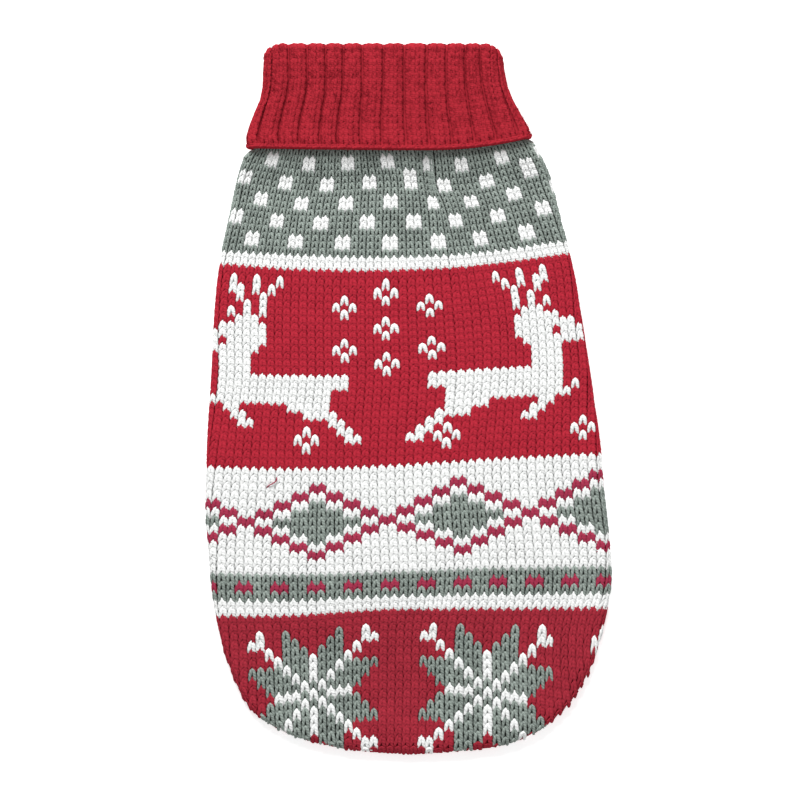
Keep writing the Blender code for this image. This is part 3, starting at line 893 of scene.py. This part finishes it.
def belly_mesh():
    """The belly panel's thin ground."""
    shares = np.linspace(-1, 1, BELLY_GRID[0])
    rows = np.linspace(BELLY_END, NECK_SEAM, BELLY_GRID[1])
    x, y = belly_place(*(a.ravel() for a in np.meshgrid(shares, rows, indexing="ij")))
    count = len(rows)
    faces = [(i * count + j, i * count + j + 1, (i + 1) * count + j + 1, (i + 1) * count + j)
             for i in range(len(shares) - 1) for j in range(count - 1)]
    return make_mesh("belly_cloth", np.column_stack([x, y, BELLY_GROUND_Z + lift(y)]), faces)


def belly_stitches():
    """Centre, across and along vectors of the belly panel's stitches."""
    centres = []
    for j in range(int((NECK_SEAM - BELLY_END) / BELLY_COURSE)):
        flat_y = BELLY_END + BELLY_COURSE * (j + 0.5)
        half = belly_half(flat_y) - leg_bite(flat_y)
        for i in range(-BELLY_WALES, BELLY_WALES):
            share = (i + 0.5) * BELLY_WALE / half
            x, y = belly_place(np.array([share]), np.array([flat_y]))
            edge = belly_place(np.array([math.copysign(1.0, share)]), np.array([flat_y]))[0]
            if abs(share) < 1 and abs(edge[0] - x[0]) > BELLY_WALE / 2:
                centres.append((x[0], y[0], BELLY_STITCH_Z + lift(y)[0]))
    across, along = (-BELLY_WALE, 0.0, 0.0), (0.0, BELLY_COURSE, 0.0)
    return np.array(centres), *(np.tile(way, (len(centres), 1)) for way in (across, along))


class SWEATER_OT_belly(Operator):
    """Makes the belly panel, the plain cloth between the side seams on the underside, with its stitches"""

    bl_idname = "sweater.belly"
    bl_label = "Belly Panel"
    bl_options = {"REGISTER", "UNDO"}

    def execute(self, context):
        cloth = add_object(context, "belly_cloth", belly_mesh())
        # The belly's ground is in the darkened red, as painted shade between its stitches.
        cloth.data.materials.append(plain_material("belly_ground", GROUND_SHADE_LOOKS[RED]))
        give_thickness(cloth, GROUND_DEPTH)
        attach(cloth, "root")
        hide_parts("belly_panel")
        line, swell, flatness = STITCHES[RED]
        stitch = stitch_object(context, "belly_stitch_shape", BELLY_SIDES, line, swell)
        piece = lay_stitches(context, "belly_stitches", stitch, belly_stitches(), "red", BELLY_SEED, flatness)
        bpy.data.objects.remove(stitch, do_unlink=True)
        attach(piece, "root")
        return {"FINISHED"}


# ------------------------------------------------------------------ the collar
COLLAR_ACROSS = 14  # points across a rib
COLLAR_COURSE = 3.5
COLLAR_WALES = (-0.215, 0.215)  # middles of a rib's two wales, as shares of a rib from its middle
COLLAR_WALE = 0.43  # width of a wale, as a share of a rib
GROOVE_WIDTH = 0.15  # as a share of a rib
COLLAR_GROUND = 0.85  # how deep the collar's ground lies under its face
RIB_STITCH_DEPTH = 0.65  # how deep the middle of a stitch lies there
FOLD_SINK = 0.7  # how much deeper it lies at the fold
RIB_FLATNESS = 0.3
EDGE_STITCHES = 3  # for each rib, in the chain that binds the free edge
EDGE_UP, EDGE_WIDTH = 0.027, 0.045  # middle and width of that chain, as shares of the way up to the fold
EDGE_FLATNESS = 0.75
EDGE_SINK = 0.5  # how much deeper the chain lies underneath
FIBRES, FIBRE_SIDES = 2200, 3
FIBRE_DEPTH = 0.1
FIBRE_REACH = (0.01, 1.03)  # from and up to where they lie; beyond 1 is the fold's outside
FIBRE_SIZE = (0.4, 0.9)  # smallest and largest, as shares of a stitch
FOLD_STRETCH = 6.0  # how many times further round the fold they go than that says
EDGE_LIFT, EDGE_LIFT_END = 1.1, 0.3  # how far the free edge stands off on the upper side, and up to where
GROOVE_START = 0.07  # how far up from the free edge a groove is at its full depth
FOLD_GROOVE = 0.2  # what is left of that depth at the top of the fold
COLLAR_RINGS = (30, 10)  # rings of points up the outer layer, and round the fold
FOLD_STITCHES = [(1.22, 0.46), (1.68, 0.46)]  # place and length of the stitches round the fold
FOLD_SINK_RANGE = (0.85, 1.05)  # between which places the stitches sink
# x of the grooves on the upper side, at the fold and at the free edge.
FOLD_GROOVES = (-70.5, -61.5, -52.0, -42.5, -33.5, -24.0, -13.0, -2.5, 9.0, 19.0, 28.5, 36.0, 45.5)
EDGE_GROOVES = (-76.0, -65.5, -55.5, -44.5, -36.0, -23.5, -13.0, -0.5, 11.0, 23.0, 34.5, 45.5, 56.5)


def collar_x(side, y):
    """x of the collar's outline."""
    table = np.array(COLLAR_EDGE)
    return np.interp(y, table[:, 0], table[:, 1 if side == "left" else 2])


def ring_place(share, left, right, inside):
    """x and z on the flattened tube whose outer face is the collar's, moved inside it by a distance."""
    big = COLLAR_RADIUS
    r = big - inside
    flat, arc = right - left - 2 * big, np.pi * big
    s = (share % 1.0) * 2 * (flat + arc)
    a1, a2, a3 = s / big, (s - arc / 2 - flat) / big, (s - 1.5 * arc - 2 * flat) / big
    parts = [
        (s < arc / 2, left + big - r * np.cos(a1), big + r * np.sin(a1)),
        (s < arc / 2 + flat, left + big + s - arc / 2, big + r),
        (s < 1.5 * arc + flat, right - big + r * np.sin(a2), big + r * np.cos(a2)),
        (s < 1.5 * arc + 2 * flat, right - big - (s - 1.5 * arc - flat), big - r),
        (s >= 1.5 * arc + 2 * flat, left + big - r * np.sin(a3), big - r * np.cos(a3)),
    ]
    tests = [p[0] for p in parts]
    return np.select(tests, [p[1] for p in parts]), np.select(tests, [p[2] for p in parts])


def collar_point(share, rise, inside, beyond=0.0, raised=0.0):
    """Places on the collar: rise is 0 at the free edge and 1 at the fold, and the rest is in millimetres.

    inside is how deep they lie in the folded layers, raised moves the free edge up, and beyond moves them up.
    """
    given = (np.asarray(a, float) for a in (share, rise, inside, beyond, raised))
    share, rise, inside, beyond, raised = np.broadcast_arrays(*given)
    centre = COLLAR_TOP - COLLAR_LAYER + SEAM_GAP / 2
    sides, lows = {}, {}
    for side in ("left", "right"):
        lows[side] = FREE_EDGE[side] + raised
        sides[side] = collar_x(side, lows[side] + (centre - CORNER_DROP - lows[side]) * rise)
    x, z = ring_place(share, sides["left"], sides["right"], inside)
    near = np.clip(x, sides["left"], sides["right"])
    left = near < SPINE_X
    edge, low = (np.where(left, pair["left"], pair["right"]) for pair in (sides, lows))
    spine = FREE_EDGE["spine"] + raised
    low = spine + (low - spine) * ((near - SPINE_X) / (edge - SPINE_X)) ** 2
    corner = np.clip(1 - np.minimum(x - sides["left"], sides["right"] - x) / CORNER_WIDTH, 0, 1)
    high = centre - CORNER_DROP * (1 - np.sqrt(1 - corner**2))
    return np.stack([x, low + (high - low) * rise + beyond, z], axis=-1)


def share_on_top(x, left, right):
    """Which share of the way round from the left side lies at an x on the upper side."""
    big = COLLAR_RADIUS
    flat, arc = right - left - 2 * big, np.pi * big
    into_left = np.clip((left + big - x) / big, 0, 1)
    into_right = np.clip((x - right + big) / big, 0, 1)
    s = np.select([x < left + big, x > right - big],
                  [big * np.arccos(into_left), arc / 2 + flat + big * np.arcsin(into_right)],
                  arc / 2 + x - left - big)
    return s / (2 * (flat + arc))


def groove_shares(places, y):
    """Shares of the way round where the upper side's grooves lie, and the first one again after a turn."""
    shares = share_on_top(np.array(places), collar_x("left", y), collar_x("right", y))
    return np.append(shares, shares[0] + 1)


GROOVE_NUMBERS = np.append(np.arange(len(FOLD_GROOVES)), RIBS)
AT_EDGE = groove_shares(EDGE_GROOVES, FREE_EDGE["left"])
AT_FOLD = groove_shares(FOLD_GROOVES, COLLAR_TOP)


def rib_share(rib, rise):
    """Share of the way round at a place that is counted in ribs from the first groove."""
    turns, rest = np.divmod(rib, RIBS)
    low, high = (np.interp(rest, GROOVE_NUMBERS, shares) for shares in (AT_EDGE, AT_FOLD))
    return turns + low + (high - low) * rise


def on_upper_side(rib):
    """1 for the ribs on the upper side, 0 for those underneath."""
    middle = (len(FOLD_GROOVES) - 1) / 2
    away = np.abs((rib - middle + RIBS / 2) % RIBS - RIBS / 2)
    return smooth(away, middle + 1, middle)


def groove(rib):
    """Depth of the groove between two ribs."""
    return RIB_DEPTH * np.exp(-(((rib - np.round(rib)) / GROOVE_WIDTH) ** 2))


def collar_outer(rib, up, deeper):
    """Places on the outer layer and round the fold. up is 0 at the free edge, 1 at the fold, 2 inside it."""
    half = COLLAR_LAYER - SEAM_GAP / 2
    bend = np.clip(up - 1, 0, 1) * np.pi
    left_over = np.clip(FOLD_GROOVE + (1 - FOLD_GROOVE) * np.cos(bend), 0, 1)
    depth = groove(rib) * smooth(up, 0.0, GROOVE_START) * left_over + deeper
    depth = depth - EDGE_LIFT * on_upper_side(rib) * (1 - smooth(up, 0.0, EDGE_LIFT_END))
    rise, reach = np.clip(up, 0, 1), half - depth
    return collar_point(rib_share(rib, rise), rise, half - reach * np.cos(bend), reach * np.sin(bend))


def collar_mesh():
    """The collar's ground: rings up its outer layer, over the fold, down inside it and back up beneath."""
    ribs = np.arange(RIBS * COLLAR_ACROSS) / COLLAR_ACROSS
    half, seam = COLLAR_LAYER - SEAM_GAP / 2, SEAM_RISE + SEAM_GAP / 2
    ups = np.concatenate([np.linspace(0, 1, COLLAR_RINGS[0]), np.linspace(1, 2, COLLAR_RINGS[1])[1:]])
    rows = [collar_outer(ribs, np.full_like(ribs, up), COLLAR_GROUND) for up in ups]
    folded, free = rib_share(ribs, 1.0), rib_share(ribs, 0.0)
    rows.append(collar_point(folded, 1.0, 2 * half - COLLAR_GROUND))
    rows.append(collar_point(free, 0.0, 2 * half - COLLAR_GROUND, raised=seam))
    rows.append(collar_point(free, 0.0, COLLAR_LAYER + SEAM_GAP, raised=seam))
    rows.append(collar_point(folded, 1.0, COLLAR_LAYER + SEAM_GAP))
    rows.append(collar_point(folded, 1.0, half, 2 * SEAM_GAP))
    rows += [collar_point(rib_share(ribs, up), up, WALL - SEAM_GAP) for up in (1.0, 0.5, 0.0)]
    ring, count = len(ribs), len(rows)
    faces = [(i * ring + j, i * ring + (j + 1) % ring, (i + 1) % count * ring + (j + 1) % ring,
              (i + 1) % count * ring + j) for i in range(count) for j in range(ring)]
    mesh = make_mesh("collar_cloth", np.concatenate(rows), faces)
    bm = bmesh.new()
    bm.from_mesh(mesh)
    bmesh.ops.recalc_face_normals(bm, faces=bm.faces)
    bm.to_mesh(mesh)
    bm.free()
    return mesh


def collar_places(rib, up, depth, ribs_wide, ups_high):
    """Places on the collar's outer layer, with the vectors across them round the collar and up it."""
    sides = [collar_outer(rib + dr * ribs_wide, up + du * ups_high, depth)
             for dr, du in ((0.5, 0), (-0.5, 0), (0, 0.5), (0, -0.5))]
    return collar_outer(rib, up, depth), sides[0] - sides[1], sides[2] - sides[3]


def rib_places():
    """Centre, across and along vectors of the stitches on the ribs, and of two more round the fold."""
    rows_up = round((COLLAR_TOP - FREE_EDGE["spine"]) / COLLAR_COURSE)
    ups = [((u + 0.5) / rows_up, 1 / rows_up) for u in range(1, rows_up)] + FOLD_STITCHES
    ribs = np.arange(RIBS)[:, None] + 0.5 + np.array(COLLAR_WALES)
    rib, up = (a.ravel() for a in np.meshgrid(ribs.ravel(), [u for u, _ in ups], indexing="ij"))
    span = np.tile([s for _, s in ups], RIBS * len(COLLAR_WALES))
    depth = RIB_STITCH_DEPTH + FOLD_SINK * smooth(up, *FOLD_SINK_RANGE)
    return collar_places(rib, up, depth, COLLAR_WALE, span)


def edge_places():
    """The same for the chain that binds the free edge, which runs along it."""
    step = 1 / EDGE_STITCHES
    rib = (np.arange(RIBS * EDGE_STITCHES) + 0.5) * step
    depth = RIB_STITCH_DEPTH + EDGE_SINK * (1 - on_upper_side(rib))
    centre, round_way, up_way = collar_places(rib, np.full(len(rib), EDGE_UP), depth, step, EDGE_WIDTH)
    return centre, -up_way, round_way


def fibre_places(seed):
    """The same for the loose fibres, which lie scattered over the upper side and turned any way."""
    chance = np.random.default_rng(seed)
    rib = chance.uniform(-0.5, len(FOLD_GROOVES), FIBRES)
    reach = chance.uniform(*FIBRE_REACH, FIBRES)
    up = np.where(reach < 1, reach, 1 + (reach - 1) * FOLD_STRETCH)
    small = 0.01
    centre = collar_outer(rib, up, FIBRE_DEPTH)
    round_way = unit(collar_outer(rib + small, up, FIBRE_DEPTH) - centre)
    up_way = unit(collar_outer(rib, up + small, FIBRE_DEPTH) - centre)
    turn = chance.uniform(0, 2 * np.pi, FIBRES)[:, None]
    size = chance.uniform(*FIBRE_SIZE, FIBRES)[:, None]
    across = round_way * np.cos(turn) + up_way * np.sin(turn)
    along = up_way * np.cos(turn) - round_way * np.sin(turn)
    return centre, across * size * PITCH[0], along * size * PITCH[1]


class SWEATER_OT_collar(Operator):
    """Makes the ribbed collar, folded over on itself, with two wales of stitches on each rib"""

    bl_idname = "sweater.collar"
    bl_label = "Collar"
    bl_options = {"REGISTER", "UNDO"}

    def execute(self, context):
        settings = context.scene.sweater
        cloth = add_object(context, "collar_cloth", collar_mesh())
        cloth.data.materials.append(plain_material("collar_ground", settings.collar))
        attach(cloth, "root")
        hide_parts("collar")
        pieces = [
            ("collar_stitches", RIB_STITCH_LINE, YARN_SIDES, rib_places(), RIB_FLATNESS),
            ("collar_edge_stitches", CHAIN_LINE, YARN_SIDES, edge_places(), EDGE_FLATNESS),
            ("collar_fibres", FIBRE_LINE, FIBRE_SIDES, fibre_places(settings.seed), 1.0),
        ]
        for number, (name, line, sides, places, flatness) in enumerate(pieces):
            stitch = stitch_object(context, "rib_stitch_shape", sides, line)
            piece = lay_stitches(context, name, stitch, places, "collar", COLLAR_SEED + number, flatness)
            bpy.data.objects.remove(stitch, do_unlink=True)
            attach(piece, "root")
        return {"FINISHED"}


# ------------------------------------------------------------------ seams, hems and a snagged thread
CHAIN_STEP, CHAIN_WIDTH = 3.2, 2.7
CHAIN_SIDES, CHAIN_FLATNESS = 4, 0.45
CHAIN_INSET = 1.1  # from the panel's edge to the middle of its chain
BACK_CHAIN_PROUD = (-0.75, -0.75, -0.75)
BACK_EDGE_ROUNDS = 6  # of moving the outline out to the cloth's edge, since the way out changes with it
BELLY_CHAIN_Z = 0.7
BELLY_EDGE_POINTS = (240, 40)  # along each side, and across the end
# The thread's line: x, y and height over the cloth.
SNAG = [
    (-72.5, -46.0, -0.5), (-71.5, -44.8, 0.3), (-69.8, -43.9, 0.9), (-68.0, -42.7, 0.9),
    (-67.5, -41.6, 0.5), (-67.4, -40.6, -0.5),
]
SNAG_RADIUS, SNAG_SIDES, SNAG_POINTS = 0.3, 5, 3  # the last is how many to each part of the line


def chain_places(line, out):
    """Centre, across and along vectors of a chain's stitches along a line, facing the way out."""
    line = evenly(line, CHAIN_STEP)
    along = np.diff(line, axis=0)
    return (line[1:] + line[:-1]) / 2, unit(np.cross(along, out)) * CHAIN_WIDTH, along


def back_edge():
    """The line of the chain along the back panel's edge."""
    edge = OUTLINE
    for _ in range(BACK_EDGE_ROUNDS):
        _, out, away, limit = on_outline(*edge.T)
        edge = edge + out * (limit - CHAIN_INSET - away)[:, None]
    return wrapped(*edge.T, BACK_CHAIN_PROUD)[0]


def belly_edge():
    """The line of the chain along the belly panel's sides and its end."""
    along, across = BELLY_EDGE_POINTS
    rows = np.linspace(BELLY_END, NECK_SEAM, along)
    side = 1 - CHAIN_INSET / belly_half(BELLY_END)
    share = np.concatenate([np.full(along, -side), np.full(along, side), np.linspace(side, -side, across)])
    x, y = belly_place(share, np.concatenate([rows, rows[::-1], np.full(across, BELLY_END + CHAIN_INSET)]))
    return np.column_stack([x, y, BELLY_CHAIN_Z + lift(y)])


class SWEATER_OT_seams(Operator):
    """Makes the chains that bind the panels' edges underneath: side seams, leg openings and hems"""

    bl_idname = "sweater.seams"
    bl_label = "Seams"
    bl_options = {"REGISTER", "UNDO"}

    def execute(self, context):
        down = (0.0, 0.0, -1.0)
        stitch = stitch_object(context, "chain_stitch_shape", CHAIN_SIDES, CHAIN_LINE)
        chains = [("back_chain", back_edge(), "red_yarn"), ("belly_chain", belly_edge(), "belly_yarn")]
        for number, (name, line, slot) in enumerate(chains):
            piece = lay_stitches(context, name, stitch, chain_places(line, down), "deep_red",
                                 CHAIN_SEED + number, CHAIN_FLATNESS)
            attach(piece, "root")
        bpy.data.objects.remove(stitch, do_unlink=True)
        return {"FINISHED"}


class SWEATER_OT_snag(Operator):
    """Makes the short red thread that is snagged on the white band"""

    bl_idname = "sweater.snag"
    bl_label = "Snagged Thread"
    bl_options = {"REGISTER", "UNDO"}

    def execute(self, context):
        line = curve_through(SNAG, SNAG_POINTS)
        line[:, 2] += top_height(line[:, 0], line[:, 1])
        radii = np.full(len(line), SNAG_RADIUS)
        thread = add_object(context, "snagged_thread", tube(line, radii, SNAG_SIDES, "snagged_thread"))
        thread.data.materials.append(yarn_material(context.scene.sweater, "crimson"))
        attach(thread, "root")
        return {"FINISHED"}


# ------------------------------------------------------------------ the stage
FRAME_CENTRE = (-4.35, -1.02)  # x and y in the middle of the camera's view
FRAME_WIDTH = 409.6  # of that view, at the height of the body's upper face
CAMERA_HEIGHT = 1300.0
SENSOR = 36.0
VIEW_END = 50.0  # metres
FLOOR_HALF, FLOOR_Z = 3000.0, -0.3
FLOOR_COLOUR, FLOOR_GLOW = (0.9, 0.9, 0.9), 0.5
WHITE_LIGHT, SKY_STRENGTH = (1.0, 1.0, 1.0, 1.0), 0.38
# Each lamp's name, its place and width in metres, and its power in watts.
LAMPS = [("key", (-0.4, 1.8, 1.25), 1.0, 61.0), ("fill", (0.9, -0.9, 1.5), 1.5, 8.0)]


def area_light(context, name, place, width, power):
    """A square lamp that faces the origin."""
    data = bpy.data.lights.new(name, "AREA")
    data.shape = "RECTANGLE"
    data.size = data.size_y = width
    data.energy = power
    lamp = bpy.data.objects.new(name, data)
    lamp.location = place
    lamp.rotation_euler = (-Vector(place)).to_track_quat("-Z", "Y").to_euler()
    context.scene.collection.objects.link(lamp)


class SWEATER_OT_stage(Operator):
    """Makes the pale floor, the soft studio light and the camera that looks straight down"""

    bl_idname = "sweater.stage"
    bl_label = "Stage"
    bl_options = {"REGISTER", "UNDO"}

    def execute(self, context):
        points = [(x * FLOOR_HALF, y * FLOOR_HALF, FLOOR_Z) for x, y in ((-1, -1), (1, -1), (1, 1), (-1, 1))]
        floor = add_object(context, "floor", make_mesh("floor", points, [(0, 1, 2, 3)]))
        pale = plain_material("pale_floor", FLOOR_COLOUR)
        shader = pale.node_tree.nodes["Principled BSDF"]
        shader.inputs["Emission Color"].default_value = WHITE_LIGHT
        shader.inputs["Emission Strength"].default_value = FLOOR_GLOW
        floor.data.materials.append(pale)
        for lamp in LAMPS:
            area_light(context, *lamp)
        world = bpy.data.worlds.new("studio")
        world.use_nodes = True
        sky = world.node_tree.nodes["Background"]
        sky.inputs["Color"].default_value = WHITE_LIGHT
        sky.inputs["Strength"].default_value = SKY_STRENGTH
        context.scene.world = world
        data = bpy.data.cameras.new("camera")
        data.sensor_width = SENSOR
        data.lens = SENSOR * (CAMERA_HEIGHT - BODY_HEIGHT) / FRAME_WIDTH
        data.clip_end = VIEW_END
        camera = bpy.data.objects.new("camera", data)
        camera.location = Vector((*FRAME_CENTRE, CAMERA_HEIGHT)) * MM
        context.scene.collection.objects.link(camera)
        context.scene.camera = camera
        context.scene.view_settings.view_transform = "Standard"
        return {"FINISHED"}


# ------------------------------------------------------------------ the add-on
class SweaterSettings(PropertyGroup):
    """Colours and sizes of the sweater's looks."""

    red: FloatVectorProperty(
        name="Red Yarn", description="Colour of the body's red yarn",
        subtype="COLOR", size=3, default=(0.45, 0.025, 0.044), min=0.0, max=1.0)
    crimson: FloatVectorProperty(
        name="Crimson Yarn", description="Colour of the red yarn round the diamonds",
        subtype="COLOR", size=3, default=(0.39, 0.041, 0.085), min=0.0, max=1.0)
    deep_red: FloatVectorProperty(
        name="Deep Red Yarn", description="Colour of the red yarn near the tail",
        subtype="COLOR", size=3, default=(0.395, 0.031, 0.050), min=0.0, max=1.0)
    white: FloatVectorProperty(
        name="White Yarn", description="Colour of the white yarn",
        subtype="COLOR", size=3, default=(0.88, 0.89, 0.88), min=0.0, max=1.0)
    grey: FloatVectorProperty(
        name="Grey Yarn", description="Colour of the grey yarn",
        subtype="COLOR", size=3, default=(0.365, 0.422, 0.384), min=0.0, max=1.0)
    collar: FloatVectorProperty(
        name="Collar Yarn", description="Colour of the collar's yarn",
        subtype="COLOR", size=3, default=(0.388, 0.0228, 0.0355), min=0.0, max=1.0)
    uneven_size: FloatProperty(
        name="Uneven Size", description="How much the stitches differ in size",
        default=0.05, min=0.0, max=0.3)
    uneven_turn: FloatProperty(
        name="Uneven Turn", description="How far a stitch may be turned",
        default=0.07, min=0.0, max=0.5, unit="ROTATION")
    seed: IntProperty(
        name="Seed", description="Which of the possible uneven knits is made",
        default=3, min=0)


class SWEATER_PT_panel(Panel):
    """The sweater's settings and the steps that make it."""

    bl_idname = "SWEATER_PT_panel"
    bl_label = "Sweater"
    bl_space_type = "VIEW_3D"
    bl_region_type = "UI"
    bl_category = "Sweater"

    def draw(self, context):
        for key in SweaterSettings.__annotations__:
            self.layout.prop(context.scene.sweater, key)
        for step in STEPS:
            self.layout.operator(step.bl_idname)


STEPS = (SWEATER_OT_back_cloth, SWEATER_OT_back_stitches, SWEATER_OT_belly, SWEATER_OT_collar,
         SWEATER_OT_seams, SWEATER_OT_snag, SWEATER_OT_stage)
CLASSES = (SweaterSettings, *STEPS, SWEATER_PT_panel)


def register():
    for c in CLASSES:
        bpy.utils.register_class(c)
    bpy.types.Scene.sweater = PointerProperty(type=SweaterSettings)


def unregister():
    del bpy.types.Scene.sweater
    for c in reversed(CLASSES):
        bpy.utils.unregister_class(c)


def declare_sheets():
    """Looks up each sewn piece by its name, and does nothing more with it."""
    find = bpy.data.objects.get
    find("back_cloth")
    [find(row[0]) for row in BACK_YARNS]
    find("belly_cloth")
    find("collar_cloth")


def main():
    register()
    for step in STEPS:
        group, name = step.bl_idname.split(".")
        getattr(getattr(bpy.ops, group), name)()
    declare_sheets()


if __name__ == "__main__":
    main()
